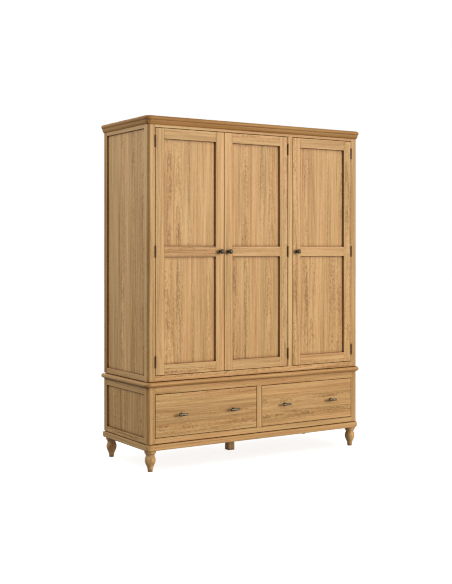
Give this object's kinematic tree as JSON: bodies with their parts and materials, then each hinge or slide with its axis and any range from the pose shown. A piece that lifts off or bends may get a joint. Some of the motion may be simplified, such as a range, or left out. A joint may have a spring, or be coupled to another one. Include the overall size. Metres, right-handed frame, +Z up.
{
  "type": "wardrobe",
  "caption": "Oak wardrobe with panelled doors under a cornice, on a base with wide drawers, turned legs and a support leg.",
  "frame": {"origin": "on the floor, in the middle of the whole object's box", "axes": "+Z up; the doors and drawers face -Y; +X is to the right of someone facing the doors"},
  "size_m": [1.538, 0.589, 1.99],
  "materials": {
    "oak": "satin lacquer",
    "oak_panel": "satin lacquer",
    "drawer_wood": "clear lacquer",
    "plywood": "sanded",
    "dark_wood": "stained",
    "pewter": "antique pewter",
    "bronze": "antique bronze",
    "chrome": "polished",
    "catch_plastic": "moulded"
  },
  "bodies": {
    "cabinet": {"base_back_panel": "plywood", "base_bottom_rail": "oak", "base_front_post_left": "oak", "base_front_post_right": "oak", "base_rear_posts": "oak", "base_side_panels": "oak_panel", "base_side_rails": "oak", "base_top_board": "oak_panel", "base_top_rail": "oak", "base_underframe": "oak", "cornice_moulding": "oak", "door_catches": "catch_plastic", "drawer_divider": "oak", "drawer_partition": "oak_panel", "drawer_runners": "oak", "frame_hinge_leaves": "bronze", "hanging_rails": "chrome", "leg_front_left": "oak", "leg_front_right": "oak", "leg_rear_left": "oak", "leg_rear_right": "oak", "mullion": "oak", "partition": "oak_panel", "plinth_moulding": "oak", "rail_sockets": "chrome", "support_leg": "dark_wood", "top_panel": "oak_panel", "upper_back_panel": "plywood", "upper_bottom_rail": "oak", "upper_floor": "oak_panel", "upper_front_post_left": "oak", "upper_front_post_right": "oak", "upper_rear_posts": "oak", "upper_side_panels": "oak_panel", "upper_side_rails": "oak", "upper_top_rail": "oak", "waist_moulding": "oak"},
    "door_left": {"door_left_hinge_leaves": "bronze", "door_left_knob": "pewter", "door_left_panels": "oak_panel", "door_left_rails": "oak", "door_left_stiles": "oak"},
    "door_middle": {"door_middle_hinge_leaves": "bronze", "door_middle_knob": "pewter", "door_middle_panels": "oak_panel", "door_middle_rails": "oak", "door_middle_stiles": "oak"},
    "door_right": {"door_right_hinge_leaves": "bronze", "door_right_knob": "pewter", "door_right_panels": "oak_panel", "door_right_rails": "oak", "door_right_stiles": "oak"},
    "drawer_left": {"drawer_left_bottom": "plywood", "drawer_left_box": "drawer_wood", "drawer_left_front": "oak", "drawer_left_handles": "pewter"},
    "drawer_right": {"drawer_right_bottom": "plywood", "drawer_right_box": "drawer_wood", "drawer_right_front": "oak", "drawer_right_handles": "pewter"}
  },
  "joints": [
    {"name": "door_left_hinge", "type": "hinge", "parent": "cabinet", "child": "door_left", "pos_m": [-0.702, -0.264, 1.23125], "axis": [0, 0, -1], "range_deg": [0, 170]},
    {"name": "door_middle_hinge", "type": "hinge", "parent": "cabinet", "child": "door_middle", "pos_m": [0.20907, -0.264, 1.23125], "axis": [0, 0, 1], "range_deg": [0, 145]},
    {"name": "door_right_hinge", "type": "hinge", "parent": "cabinet", "child": "door_right", "pos_m": [0.702, -0.264, 1.23125], "axis": [0, 0, 1], "range_deg": [0, 170]},
    {"name": "drawer_left_slide", "type": "slide", "parent": "cabinet", "child": "drawer_left", "axis": [0, -1, 0], "range_m": [0, 0.4]},
    {"name": "drawer_right_slide", "type": "slide", "parent": "cabinet", "child": "drawer_right", "axis": [0, -1, 0], "range_m": [0, 0.4]}
  ]
}
